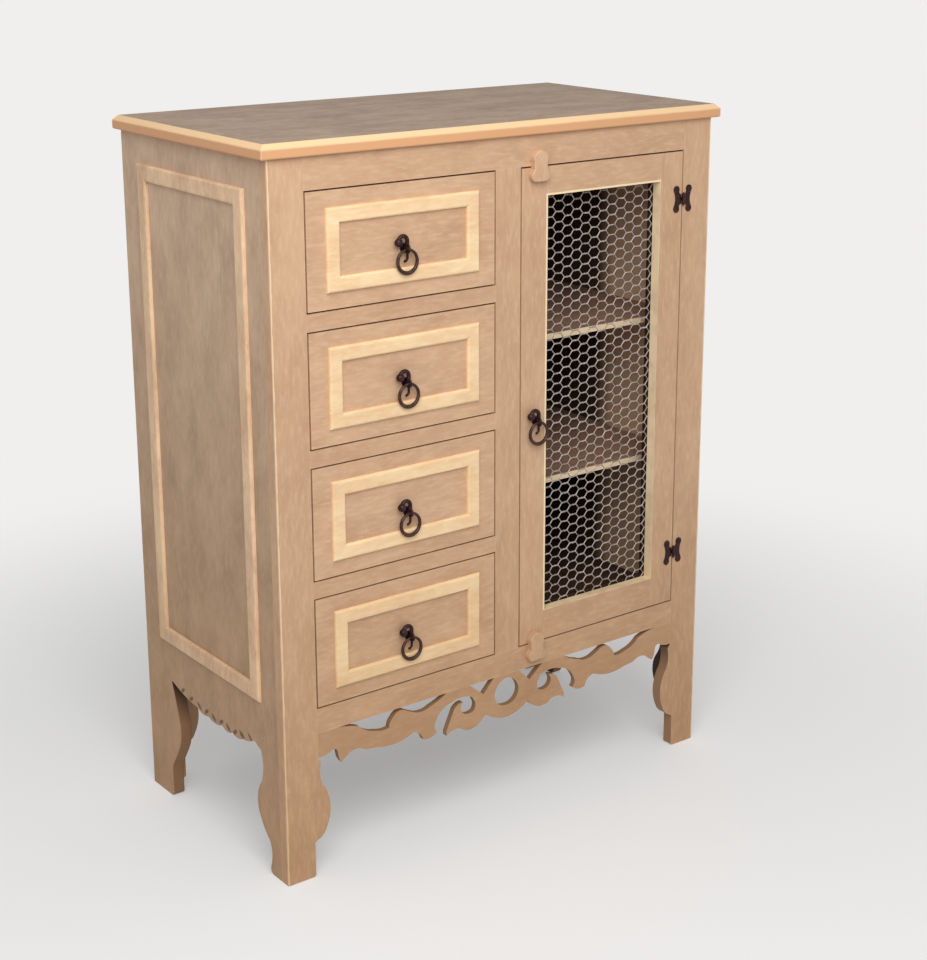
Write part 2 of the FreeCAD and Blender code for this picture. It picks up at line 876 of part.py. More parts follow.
def net_shape():
    """A sheet of wire net: six-sided meshes in columns, every other column half a mesh higher."""
    column = net_hole_width.number / NET_COLUMNS
    row = net_hole_height.number / (NET_ROWS + 0.5)
    slant = (column - size.net_bar.number) / 2
    half_top = size.net_bar.number / 2
    half_wide = half_top + slant * 2 - size.net_wire.number / 2
    half_high = (row - size.net_wire.number) / 2
    left, foot = size.net_lap.number, size.net_lap.number
    wires = [Part.makePolygon([Vector(0, 0, 0), Vector(net_width.number, 0, 0),
                               Vector(net_width.number, net_height.number, 0),
                               Vector(0, net_height.number, 0), Vector(0, 0, 0)])]
    for column_number in range(NET_COLUMNS):
        centre_x = left + column * (column_number + 0.5)
        lift = row * (0.5 + 0.5 * (column_number % 2))
        for row_number in range(NET_ROWS):
            centre_y = foot + lift + row * row_number
            around = [(-half_wide, 0), (-half_top, -half_high), (half_top, -half_high),
                      (half_wide, 0), (half_top, half_high), (-half_top, half_high)]
            points = [Vector(centre_x + across, centre_y + up, 0) for across, up in around]
            wires.append(Part.makePolygon([*points, points[0]]))
    sheet = Part.makeFace(wires, "Part::FaceMakerBullseye")
    return sheet.extrude(Vector(0, 0, size.net_thickness.number))


net = doc.addObject("Part::Feature", "net_sheet")
net.Shape = net_shape()
place(net, net_corner[0], net_corner[1] + size.net_thickness, net_corner[2], FACING_FRONT)
keep(net, "door_mesh")

bead_pieces = [
    box("bead_left", size.bead_width, size.bead_thickness, net_height, (ZERO, ZERO, ZERO)),
    box("bead_right", size.bead_width, size.bead_thickness, net_height,
        (net_width - size.bead_width, ZERO, ZERO)),
    box("bead_foot", net_width - size.bead_width * 2, size.bead_thickness, size.bead_width,
        (size.bead_width, ZERO, ZERO)),
    box("bead_head", net_width - size.bead_width * 2, size.bead_thickness, size.bead_width,
        (size.bead_width, ZERO, net_height - size.bead_width)),
]
keep(compound("bead_set", bead_pieces, (net_corner[0], net_corner[1] + size.net_thickness,
                                        net_corner[2])), "door_mesh_beads")

door_eye = door_foot + door_height / 2 - size.door_pull_drop
door_pull_x = door_edge + size.door_pull_inset
keep(pull("door_iron", door_pull_x, door_eye), "door_pull")
keep(ring("door_hoop", door_pull_x, door_eye), "door_ring")

# The butterfly hinges; the shares are of a leaf's reach and height

LEAF_SHARES = (
    (Corner, 1.0, 0.33),
    (Corner, 1.0, 0.67),
    (Bend, 0.80, 0.70),
    (Corner, 0.70, 0.80),
    (Bend, 0.36, 1.0),
    (Corner, 0.02, 0.80),
    (Bend, 0.22, 0.5),
    (Corner, 0.02, 0.20),
    (Bend, 0.36, 0.0),
    (Corner, 0.70, 0.20),
    (Bend, 0.80, 0.30),
)

pin_stand = size.knuckle_radius + size.knuckle_stand
pin_x = door_left + opening_width - size.reveal / 2
plate_width = size.leaf_reach - size.knuckle_radius - size.knuckle_gap
knuckle_step = size.knuckle_height + size.knuckle_gap
barrel_height = size.knuckle_height * 3 + size.knuckle_gap * 2
barrel_foot = (size.leaf_height - barrel_height) / 2
plate_outline = from_shares(LEAF_SHARES, plate_width, size.leaf_height)
axle = ZERO - pin_stand


def knuckle(name, step, side):
    """One knuckle of a barrel, and the tongue that ties it to its plate."""
    foot = barrel_foot + knuckle_step * step
    reach = size.knuckle_radius + size.knuckle_gap
    left = ZERO - reach if side == "door" else ZERO
    return [
        cylinder(f"{name}_barrel", size.knuckle_radius, size.knuckle_height, (ZERO, axle, foot)),
        box(f"{name}_tongue", reach, size.leaf_thickness, size.knuckle_height,
            (left, ZERO - size.leaf_thickness, foot)),
    ]


def door_leaf(name, foot):
    """The leaf on the door, with the middle knuckle bored for the pin."""
    plate = profile(f"{name}_plate", [plate_outline], size.leaf_thickness,
                    (ZERO - size.leaf_reach, ZERO, ZERO), FACING_FRONT)
    solid = fused(f"{name}_solid", [plate, *knuckle(f"{name}_knuckle", 1, "door")])
    bore = cylinder(f"{name}_bore", size.pin_radius + size.pin_play, size.leaf_height,
                    (ZERO, axle, ZERO))
    return cut(name, solid, bore, (pin_x, face, foot))


def frame_leaf(name, foot):
    """The leaf on the stile, with the outer knuckles and the pin."""
    plate = profile(f"{name}_plate", [mirrored(plate_outline, plate_width)], size.leaf_thickness,
                    (size.leaf_reach - plate_width, ZERO, ZERO), FACING_FRONT)
    knuckles = knuckle(f"{name}_lower", 0, "frame") + knuckle(f"{name}_upper", 2, "frame")
    spindle = cylinder(f"{name}_pin", size.pin_radius, barrel_height + size.pin_tip * 2,
                       (ZERO, axle, barrel_foot - size.pin_tip))
    return fused(name, [plate, *knuckles, spindle], (pin_x, face, foot))


hinge_feet = (door_foot + door_height - size.upper_hinge_inset - size.leaf_height,
              door_foot + size.lower_hinge_inset)
for side, leaf in (("door", door_leaf), ("frame", frame_leaf)):
    leaves = [leaf(f"{side}_leaf_{number}", foot) for number, foot in enumerate(hinge_feet, 1)]
    label = "door_hinge_leaves" if side == "door" else "hinge_leaves_frame"
    keep(compound(f"{side}_leaves", leaves, (ZERO, ZERO, ZERO)), label)

# The turn buttons and their screws; the shares are of a button's width and height

BUTTON_SHARES = (
    (Corner, 0.26, 0.0),
    (Corner, 0.74, 0.0),
    (Bend, 0.96, 0.08),
    (Corner, 1.0, 0.25),
    (Corner, 0.86, 0.40),
    (Corner, 0.86, 0.62),
    (Bend, 0.84, 0.86),
    (Corner, 0.70, 0.95),
    (Bend, 0.5, 1.0),
    (Corner, 0.30, 0.95),
    (Bend, 0.16, 0.86),
    (Corner, 0.14, 0.62),
    (Corner, 0.14, 0.40),
    (Corner, 0.0, 0.25),
    (Bend, 0.04, 0.08),
)

head_floor = size.button_thickness - size.screw_head_height


def turn_button(name, pivot_height, at):
    """A waisted wooden button, bored and sunk for its screw."""
    outline = from_shares(BUTTON_SHARES, size.button_width, size.button_height)
    body = profile(f"{name}_waisted", [outline], size.button_thickness,
                   (ZERO - size.button_width / 2, ZERO, ZERO - pivot_height), FACING_FRONT)
    soften(body, "Fillet", size.button_thickness, "Radius", size.button_round)
    shank = cylinder(f"{name}_shank_hole", size.screw_radius + size.screw_play,
                     size.button_thickness + size.overrun * 2, (ZERO, size.overrun, ZERO), FACING_FRONT)
    head = cylinder(f"{name}_head_hole", size.screw_head_radius + size.screw_play,
                    size.screw_head_height + size.screw_play + size.overrun,
                    (ZERO, size.screw_play - head_floor, ZERO), FACING_FRONT)
    return cut(name, body, fused(f"{name}_hole", [shank, head]), at)


def screw(name, at):
    """A screw whose head lies flush in a turn button."""
    head_back = size.button_play + head_floor
    shank = cylinder(f"{name}_shank", size.screw_radius, size.screw_bite + head_back,
                     (ZERO, size.screw_bite, ZERO), FACING_FRONT)
    head = cylinder(f"{name}_head", size.screw_head_radius, size.screw_head_height,
                    (ZERO, ZERO - head_back, ZERO), FACING_FRONT)
    return fused(name, [shank, head], at)


button_x = door_edge + size.button_inset
screws = []
for end, pivot_height, pivot_z in (
    ("top", size.upper_pivot_height, opening_top + size.upper_button_rise),
    ("bottom", size.lower_pivot_height, opening_foot - size.lower_button_drop),
):
    keep(turn_button(f"{end}_button", pivot_height, (button_x, face - size.button_play, pivot_z)),
         f"turn_button_{end}")
    screws.append(screw(f"{end}_screw", (button_x, face, pivot_z)))
keep(compound("screw_set", screws, (ZERO, ZERO, ZERO)), "turn_button_screws")

# Every object must be sound before anything is written

doc.recompute()
for item in doc.Objects:
    if "Invalid" in item.State or "Error" in item.State:
        raise RuntimeError(f"{item.Name} did not build: {item.State}")
for item in sub_parts:
    if item.Shape.isNull() or not item.Shape.isValid():
        raise RuntimeError(f"{item.Label} has no sound shape")

os.makedirs("parts", exist_ok=True)
for item in sub_parts:
    item.Shape.exportStep(f"parts/{item.Label}.step")
print(f"{len(sub_parts)} sub-parts written")
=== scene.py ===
"""Finishes, wire net, small ironwork, light and camera for a painted side cupboard with a wire-net door."""

from __future__ import annotations

import logging
import math
from collections.abc import Iterable
from dataclasses import dataclass
from enum import Enum

import bpy
from mathutils import Matrix, Vector


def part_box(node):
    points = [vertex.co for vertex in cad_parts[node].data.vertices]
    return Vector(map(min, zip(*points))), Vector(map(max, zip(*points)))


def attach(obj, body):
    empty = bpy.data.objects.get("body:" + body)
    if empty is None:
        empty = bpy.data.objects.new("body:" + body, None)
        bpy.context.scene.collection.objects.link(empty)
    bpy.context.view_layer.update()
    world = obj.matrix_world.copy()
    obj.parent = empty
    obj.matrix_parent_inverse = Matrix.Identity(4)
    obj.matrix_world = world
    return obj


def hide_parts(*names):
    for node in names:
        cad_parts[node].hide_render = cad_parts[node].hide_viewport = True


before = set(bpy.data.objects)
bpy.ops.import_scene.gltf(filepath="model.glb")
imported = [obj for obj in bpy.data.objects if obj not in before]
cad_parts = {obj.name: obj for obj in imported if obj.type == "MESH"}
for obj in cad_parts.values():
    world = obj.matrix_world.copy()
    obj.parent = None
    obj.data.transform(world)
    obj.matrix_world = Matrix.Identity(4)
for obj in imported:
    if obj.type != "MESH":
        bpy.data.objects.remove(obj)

LOG = logging.getLogger("cupboard")
MM = 0.001
OIL_FILM_IOR = 1.46
MIX_FIRST, MIX_SECOND, MIX_RESULT = 6, 7, 2  # The colour sockets of a Mix node

Tree = bpy.types.NodeTree
Socket = bpy.types.NodeSocket
Material = bpy.types.Material
Object = bpy.types.Object
Colour = tuple[float, float, float, float]


class Grain(Enum):
    """The world axis that a board's grain runs along."""

    X = 0
    Y = 1
    Z = 2


# Shader helpers


def linear(code: str) -> Colour:
    """Turn an sRGB hex colour into linear light.

    Args:
        code: Six hex digits, such as "C9A27C".

    Returns:
        Linear red, green and blue, and full opacity.
    """
    parts = [int(code[i:i + 2], 16) / 255 for i in (0, 2, 4)]
    curve = [p / 12.92 if p <= 0.04045 else ((p + 0.055) / 1.055) ** 2.4 for p in parts]
    return (*curve, 1.0)


def metres(*lengths: float) -> tuple[float, ...]:
    """Turn lengths in mm into metres.

    Args:
        lengths: The lengths, in mm.

    Returns:
        The same lengths, in metres.
    """
    return tuple(length * MM for length in lengths)


def put(tree: Tree, kind: str, inputs: dict | None = None, **settings: object) -> bpy.types.Node:
    """Add one node with its settings, values and links.

    Args:
        tree: The node tree that gets the node.
        kind: The node's type name, after "ShaderNode".
        inputs: Socket name or number to a value, or to the output socket that feeds it.
        settings: Properties of the node itself.

    Returns:
        The new node.
    """
    node = tree.nodes.new("ShaderNode" + kind)
    for name, value in settings.items():
        setattr(node, name, value)
    for name, value in (inputs or {}).items():
        if isinstance(value, Socket):
            tree.links.new(value, node.inputs[name])
        else:
            node.inputs[name].default_value = value
    return node


def maths(tree: Tree, operation: str, *values: Socket | float) -> Socket:
    """Add one Math node.

    Args:
        tree: The material's tree.
        operation: Blender's name of the operation.
        values: What it works on, in order.

    Returns:
        The result's socket.
    """
    return put(tree, "Math", dict(enumerate(values)), operation=operation).outputs[0]


def remap(tree: Tree, value: Socket, low: float, high: float, to_low: float = 0.0, to_high: float = 1.0,
          **settings: object) -> Socket:
    """Turn one range of values into another, held at both ends.

    Args:
        tree: The material's tree.
        value: The value.
        low: The value that gives to_low.
        high: The value that gives to_high.
        to_low: First end of the new range.
        to_high: Second end of the new range.
        settings: Properties of the node itself.

    Returns:
        The new value's socket.
    """
    return put(tree, "MapRange", {"Value": value, "From Min": low, "From Max": high, "To Min": to_low,
                                  "To Max": to_high}, **settings).outputs["Result"]


def blend(tree: Tree, factor: Socket, first: Socket | Colour, second: Socket | Colour, how: str = "MIX") -> Socket:
    """Mix two colours.

    Args:
        tree: The material's tree.
        factor: Share of the second colour.
        first: The first colour.
        second: The second colour.
        how: Blender's name of the blend.

    Returns:
        The mixed colour's socket.
    """
    return put(tree, "Mix", {"Factor": factor, MIX_FIRST: first, MIX_SECOND: second}, data_type="RGBA",
               blend_type=how).outputs[MIX_RESULT]


def coordinates(tree: Tree) -> Socket:
    """Object coordinates, which are the frame's own on every CAD node.

    Args:
        tree: The material's tree.

    Returns:
        The coordinates' socket.
    """
    return put(tree, "TexCoord").outputs["Object"]


def normal(tree: Tree) -> Socket:
    """The surface's normal, before any bump.

    Args:
        tree: The material's tree.

    Returns:
        The normal's socket.
    """
    return put(tree, "NewGeometry").outputs["Normal"]


def split(tree: Tree, vector: Socket) -> bpy.types.bpy_prop_collection:
    """Take a vector apart.

    Args:
        tree: The material's tree.
        vector: The vector.

    Returns:
        The sockets "X", "Y" and "Z".
    """
    return put(tree, "SeparateXYZ", {0: vector}).outputs


def stretched(tree: Tree, grain: Grain, along: float, across: float) -> Socket:
    """Object coordinates stretched along a board's grain.

    Args:
        tree: The material's tree.
        grain: The axis of the grain.
        along: Length of one pattern unit along the grain, in mm.
        across: Width of one pattern unit across the grain, in mm.

    Returns:
        The scaled coordinates' socket.
    """
    scale = [1 / (across * MM)] * 3
    scale[grain.value] = 1 / (along * MM)
    return put(tree, "Mapping", {"Vector": coordinates(tree), "Scale": scale}).outputs["Vector"]


def noise(tree: Tree, place: Socket, detail: float = 2.0, roughness: float = 0.5, distortion: float = 0.0,
          size: float | None = None, seed: float | None = None) -> Socket:
    """Add one noise texture.

    Args:
        tree: The material's tree.
        place: The coordinates.
        detail: Number of finer layers.
        roughness: Strength of each finer layer against the one before it.
        distortion: How far the pattern is pulled about.
        size: Size of one pattern unit in mm, or None for coordinates that are scaled already.
        seed: Fourth coordinate, which gives a piece its own pattern, or None.

    Returns:
        The noise's socket, from 0 to 1.
    """
    inputs = {"Vector": place, "Scale": 1.0 if size is None else 1 / (size * MM), "Detail": detail,
              "Roughness": roughness, "Distortion": distortion}
    if seed is None:
        return put(tree, "TexNoise", inputs).outputs["Fac"]
    return put(tree, "TexNoise", inputs | {"W": seed}, noise_dimensions="4D").outputs["Fac"]


def relief(tree: Tree, height: Socket, strength: float, depth: float) -> Socket:
    """Add fine relief.

    Args:
        tree: The material's tree.
        height: The relief's height, from 0 to 1.
        strength: Share of the relief that shows.
        depth: Depth of the relief, in mm.

    Returns:
        The normal's socket.
    """
    return put(tree, "Bump", {"Height": height, "Strength": strength, "Distance": depth * MM}).outputs["Normal"]


def blank_material(name: str) -> tuple[Material, Tree]:
    """Start a material with an empty node tree.

    Args:
        name: The material's name.

    Returns:
        The material and its tree.
    """
    material = bpy.data.materials.new(name)
    material.use_nodes = True
    material.node_tree.nodes.clear()
    return material, material.node_tree


def coat(tree: Tree, inputs: dict) -> None:
    """Finish a material with one principled shader.

    Args:
        tree: The material's tree.
        inputs: The shader's inputs.
    """
    shader = put(tree, "BsdfPrincipled", inputs)
    put(tree, "OutputMaterial", {"Surface": shader.outputs["BSDF"]})


# Finishes


@dataclass(frozen=True)
class RubbedPaint:
    """Chalky paint brushed on softwood and rubbed back, so that brush marks show and the arrises are pale.

    The paint is matt to satin, mottled over a hand's width, and rubbed to a pale colour along its edges. It darkens
    little by little towards the floor, which is painted shade. Widths and reaches are in mm. A range gives the two
    values between which an effect grows from none to full.
    """

    name: str
    grain: Grain
    body: str = "D6AF8C"
    shade: str = "C79F7E"
    light: str = "E6C3A2"
    worn: str = "F3D0A6"
    wear: float = 0.3
    wear_width: float = 1.8
    wear_samples: int = 6
    wear_range: tuple[float, float] = (0.995, 0.86)
    patch_range: tuple[float, float] = (0.30, 0.62)
    patch_least: float = 0.35
    roughness: float = 0.58
    roughness_spread: tuple[float, float] = (-0.06, 0.08)
    mottle_width: float = 55.0
    mottle_stretch: float = 2.2
    mottle_range: tuple[float, float] = (0.36, 0.62)
    streak_width: float = 5.0
    streak_stretch: float = 4.0
    thin_range: tuple[float, float] = (0.48, 0.74)
    thin_most: float = 0.55
    thick_range: tuple[float, float] = (0.46, 0.26)
    thick_most: float = 0.40
    # Painted shade: a colour multiplied in that darkens the paint towards the floor, none at the reach's first
    # height, full at its second
    low_shade: str = "E4DDD2"
    low_shade_reach: tuple[float, float] = (500.0, 60.0)
    seed: float = 0.0

    def colour(self, tree: Tree) -> Socket:
        """The paint's own colour before any wear.

        Args:
            tree: The material's tree.

        Returns:
            The colour's socket.
        """
        mottling = stretched(tree, self.grain, self.mottle_width * self.mottle_stretch, self.mottle_width)
        cloud = noise(tree, mottling, detail=6.0, roughness=0.70, seed=self.seed)
        base = blend(tree, remap(tree, cloud, *self.mottle_range), linear(self.shade), linear(self.body))
        streaking = stretched(tree, self.grain, self.streak_width * self.streak_stretch, self.streak_width)
        streak = noise(tree, streaking, detail=4.0, roughness=0.60, seed=self.seed + 3.0)
        thin = remap(tree, streak, *self.thin_range, to_high=self.thin_most)
        brushed = blend(tree, thin, base, linear(self.light))
        thick = remap(tree, streak, *self.thick_range, to_high=self.thick_most)
        return blend(tree, thick, brushed, linear(self.shade))

    def edge(self, tree: Tree) -> Socket:
        """How far the paint is rubbed away, from 0 on a flat to 1 on an arris.

        Args:
            tree: The material's tree.

        Returns:
            The mask's socket.
        """
        rounded = put(tree, "Bevel", {"Radius": self.wear_width * MM}, samples=self.wear_samples)
        facing = put(tree, "VectorMath", {0: rounded.outputs["Normal"], 1: normal(tree)}, operation="DOT_PRODUCT")
        turned = remap(tree, facing.outputs["Value"], *self.wear_range)
        patch = noise(tree, stretched(tree, self.grain, along=30.0, across=9.0), detail=3.0)
        return maths(tree, "MULTIPLY", turned, remap(tree, patch, *self.patch_range, to_low=self.patch_least))

    def with_low_shade(self, tree: Tree, colour: Socket) -> Socket:
        """Darken a colour little by little towards the floor: painted shade, standing for light that falls off low
        down.

        Args:
            tree: The material's tree.
            colour: The colour before the painted shade.

        Returns:
            The darkened colour's socket.
        """
        low = remap(tree, split(tree, coordinates(tree))["Z"], *metres(*self.low_shade_reach))
        return blend(tree, low, colour, linear(self.low_shade), "MULTIPLY")

    def surface(self, tree: Tree, colour: Socket) -> None:
        """Finish the material with its shader, sheen and fine brush relief.

        Args:
            tree: The material's tree.
            colour: The finished colour.
        """
        bristles = noise(tree, stretched(tree, self.grain, along=30.0, across=1.1))
        rough = remap(tree, bristles, 0.3, 0.7, *(self.roughness + change for change in self.roughness_spread))
        coat(tree, {"Base Color": colour, "Roughness": rough,
                    "Normal": relief(tree, bristles, strength=0.35, depth=0.12),
                    "IOR": OIL_FILM_IOR, "Specular IOR Level": 0.35})

    def make(self) -> Material:
        """Build the material.

        Returns:
            The finished material.
        """
        material, tree = blank_material(self.name)
        amount = maths(tree, "MULTIPLY", self.edge(tree), self.wear)
        mixed = blend(tree, amount, self.colour(tree), linear(self.worn))
        # Painted shade: the worn colour darkens towards the floor
        self.surface(tree, self.with_low_shade(tree, mixed))
        return material


@dataclass(frozen=True)
class SawnPaint(RubbedPaint):
    """Rubbed paint on a board sawn to a shape. Its sawn edges low down are darker, partly bare sawn wood and partly
    painted shade, and darken further as painted shadow under the apron; its outer arris is rubbed bare.
    """

    thickness_axis: str = "Y"
    span_axis: str = "X"
    # The sawn edges' colour, partly bare wood and partly painted shade, and the deeper painted shadow it reaches
    # under the apron, between two heights
    sawn_edge_and_shade: str = "A9866A"
    apron_shadow: str = "4E3424"
    apron_shadow_levels: tuple[float, float] = (135.0, 190.0)
    sawn_top: float = 245.0
    flat_least: float = 0.6
    outer: float = 389.0
    arris: tuple[float, float] | None = None
    arris_width: float = 2.0
    arris_share: tuple[float, float] = (0.45, 1.5)
    bare: str = "F4D2AB"

    def colour(self, tree: Tree) -> Socket:
        """The paint's colour, with the sawn edges darkened, partly by their own colour and partly by painted shade,
        and the bare arris.

        Args:
            tree: The material's tree.

        Returns:
            The colour's socket.
        """
        painted = RubbedPaint.colour(self, tree)
        place = split(tree, coordinates(tree))
        flat = maths(tree, "ABSOLUTE", split(tree, normal(tree))[self.thickness_axis])
        edgewise = maths(tree, "LESS_THAN", flat, self.flat_least)
        within = maths(tree, "LESS_THAN", maths(tree, "ABSOLUTE", place[self.span_axis]), self.outer * MM)
        low = maths(tree, "LESS_THAN", place["Z"], self.sawn_top * MM)
        # Painted shade: the edge faces inside the outline, below the apron, take the sawn edges' colour
        dark = maths(tree, "MULTIPLY", maths(tree, "MULTIPLY", edgewise, within), low)
        # Painted shadow under the apron: the edge colour darkens towards the apron's height
        rise = remap(tree, place["Z"], *metres(*self.apron_shadow_levels))
        edge = blend(tree, rise, linear(self.sawn_edge_and_shade), linear(self.apron_shadow))
        shaded = blend(tree, dark, painted, edge)
        if self.arris is None:
            return shaded
        gaps = [maths(tree, "ABSOLUTE", maths(tree, "SUBTRACT", reach, line * MM))
                for reach, line in zip((maths(tree, "ABSOLUTE", place["X"]), place["Y"]), self.arris)]
        chips = noise(tree, stretched(tree, Grain.Z, along=24.0, across=9.0), detail=4.0)
        width = remap(tree, chips, 0.25, 0.75, *(self.arris_width * share * MM for share in self.arris_share))
        rubbed = maths(tree, "LESS_THAN", maths(tree, "MAXIMUM", *gaps), width)
        return blend(tree, rubbed, shaded, linear(self.bare))


@dataclass(frozen=True)
class Hollow:
    """One oval of painted shade for a carved hollow at the foot of a side board. Lengths are in mm and the turn is
    in degrees.
    """

    along: float
    height: float
    half_length: float
    half_width: float
    turn: float


@dataclass(frozen=True)
class SidePaint(SawnPaint):
    """Greyer rubbed paint outside; brown stain inside, with painted shade darkening it towards the back and on the
    legs; ovals of painted shade for the carved hollows at the foot.
    """

    inner_face: float = 372.6
    inner: str = "FFDABA"
    # Painted shade inside: the stain darkens to this colour towards the back, between the two depths of the fade
    inner_back_shade: str = "5C4638"
    inner_back_shade_fade: tuple[float, float] = (2.0, 40.0)
    # Painted shade on the legs' inner faces: below the first height of the range, fully by the second, the inside
    # takes this dark colour
    inner_leg_shade: str = "4E3324"
    inner_leg_shade_top: tuple[float, float] = (244.0, 246.0)
    # Painted shade in the carved hollows: the colour of each dark oval and how it fades at its rim
    hollow_shade: str = "5B4332"
    hollow_shade_range: tuple[float, float] = (1.15, 0.55)
    hollow_shade_most: float = 0.8
    hollows: tuple[Hollow, ...] = (
        Hollow(-101.0, 194.0, 8.0, 3.4, 40.0), Hollow(-78.0, 189.0, 9.0, 4.2, 30.0),
        Hollow(-58.0, 186.0, 8.0, 3.6, -35.0), Hollow(-38.0, 185.5, 8.5, 3.6, 35.0),
        Hollow(-18.0, 187.0, 8.0, 3.4, -30.0), Hollow(4.0, 185.0, 8.0, 3.6, 30.0),
        Hollow(26.0, 187.0, 8.0, 3.4, -35.0), Hollow(48.0, 188.0, 8.5, 3.6, 35.0),
        Hollow(72.0, 191.0, 8.0, 3.4, -30.0), Hollow(98.0, 195.0, 8.0, 3.4, -40.0))

    def colour(self, tree: Tree) -> Socket:
        """The paint's colour outside with ovals of painted shade for the hollows, and the stain's colour inside
        with painted shade towards the back and on the legs.

        Args:
            tree: The material's tree.

        Returns:
            The colour's socket.
        """
        outside = SawnPaint.colour(self, tree)
        where = coordinates(tree)
        # Painted shade: each hollow is a dark oval laid on the paint
        for hollow in self.hollows:
            local = put(tree, "Mapping", {"Vector": where, "Location": (0, *metres(hollow.along, hollow.height)),
                                          "Rotation": (math.radians(hollow.turn), 0, 0),
                                          "Scale": (1, *metres(hollow.half_length, hollow.half_width))},
                        vector_type="TEXTURE")
            level = put(tree, "VectorMath", {0: local.outputs["Vector"], 1: (0, 1, 1)}, operation="MULTIPLY")
            away = put(tree, "VectorMath", {0: level.outputs["Vector"]}, operation="LENGTH").outputs["Value"]
            deep = remap(tree, away, *self.hollow_shade_range, to_high=self.hollow_shade_most)
            outside = blend(tree, deep, outside, linear(self.hollow_shade))
        place = split(tree, where)
        within = maths(tree, "LESS_THAN", maths(tree, "ABSOLUTE", place["X"]), self.inner_face * MM)
        # Painted shade: the inner wall darkens towards the back
        back = remap(tree, place["Y"], *metres(*self.inner_back_shade_fade))
        lining = blend(tree, back, linear(self.inner), linear(self.inner_back_shade))
        # Painted shade: below the legs' range the inside faces turn dark
        above = remap(tree, place["Z"], *metres(*self.inner_leg_shade_top))
        return blend(tree, within, outside, blend(tree, above, linear(self.inner_leg_shade), lining))


@dataclass(frozen=True)
class TopPaint(RubbedPaint):
    """The top's paint: worn brown with long streaks, and round the board's edge a pale upper band, rubbed and
    partly painted highlight, over a deeper lower band.
    """

    # The edge's upper band is rubbed paint and painted highlight; the lower band is the edge's deeper paint
    rim_rubbed_highlight: str = "F6D0A0"
    rim_deep: str = "E2AA7C"
    rim_split: float = 1043.0
    rim_waver: float = 1.5
    flat_least: float = 0.92

    def colour(self, tree: Tree) -> Socket:
        """The flat's colour on top, and on the board's edge a pale upper band, rubbed and partly painted highlight,
        over a deeper lower band.

        Args:
            tree: The material's tree.

        Returns:
            The colour's socket.
        """
        flat = RubbedPaint.colour(self, tree)
        wave = noise(tree, stretched(tree, self.grain, along=60.0, across=60.0))
        uneven = remap(tree, wave, 0.0, 1.0, *metres(-self.rim_waver, self.rim_waver))
        level = maths(tree, "ADD", split(tree, coordinates(tree))["Z"], uneven)
        share = remap(tree, level, *metres(self.rim_split - self.rim_waver, self.rim_split + self.rim_waver))
        # Painted highlight, with rubbing: the edge above the split height is paler
        rim = blend(tree, share, linear(self.rim_deep), linear(self.rim_rubbed_highlight))
        upward = maths(tree, "GREATER_THAN", split(tree, normal(tree))["Z"], self.flat_least)
        return blend(tree, upward, rim, flat)


@dataclass(frozen=True)
class DoorPaint(RubbedPaint):
    """The door's paint, rubbed to a thin pale line beside the opening and left pale on the faces inside it."""

    left: float = 72.0
    right: float = 289.5
    foot: float = 306.5
    head: float = 940.5
    line: float = 3.0
    far_line: float = 0.4
    waver: float = 0.8
    softness: float = 0.5
    pale: str = "FFE6BE"

    def colour(self, tree: Tree) -> Socket:
        """The paint's colour with the pale faces and lines of the opening.

        Args:
            tree: The material's tree.

        Returns:
            The colour's socket.
        """
        plain = RubbedPaint.colour(self, tree)
        place = split(tree, coordinates(tree))
        wander = noise(tree, stretched(tree, Grain.Z, along=25.0, across=25.0))
        shift = remap(tree, wander, 0.0, 1.0, *metres(-self.waver, self.waver))
        gaps = []
        for axis, low, high in (("X", self.left - self.line, self.right + self.far_line),
                                ("Z", self.foot - self.far_line, self.head + self.line)):
            below = maths(tree, "SUBTRACT", low * MM, place[axis])
            beyond = maths(tree, "SUBTRACT", place[axis], high * MM)
            gaps.append(maths(tree, "MAXIMUM", below, beyond))
        edge = maths(tree, "ADD", maths(tree, "MAXIMUM", *gaps), shift)
        near = remap(tree, edge, *metres(self.softness, -self.softness))
        return blend(tree, near, plain, linear(self.pale))


@dataclass(frozen=True)
class StainedWood:
    """Thin stain on the plain boards inside, matt, with the grain just showing; faces towards the front may take
    their own colour, pale paint on the shelves' edges and near-black painted shade on the back panel.
    """

    name: str
    grain: Grain
    body: str = "3B2519"
    shade: str = "21130C"
    # Colour of the faces towards the front: pale paint on the shelves, near-black painted shade on the back panel
    front: str | None = None
    front_facing: float = -0.7

    def make(self) -> Material:
        """Build the material.

        Returns:
            The finished material.
        """
        material, tree = blank_material(self.name)
        lines = noise(tree, stretched(tree, self.grain, along=160.0, across=5.0), detail=5.0, roughness=0.6,
                      distortion=0.4)
        colour = blend(tree, remap(tree, lines, 0.3, 0.7), linear(self.shade), linear(self.body))
        # Faces towards the front take the front colour, which on the back panel is painted shade
        if self.front is not None:
            ahead = maths(tree, "LESS_THAN", split(tree, normal(tree))["Y"], self.front_facing)
            colour = blend(tree, ahead, colour, linear(self.front))
        coat(tree, {"Base Color": colour, "Normal": relief(tree, lines, strength=0.3, depth=0.15),
                    "Roughness": 0.72, "IOR": OIL_FILM_IOR, "Specular IOR Level": 0.25})
        return material


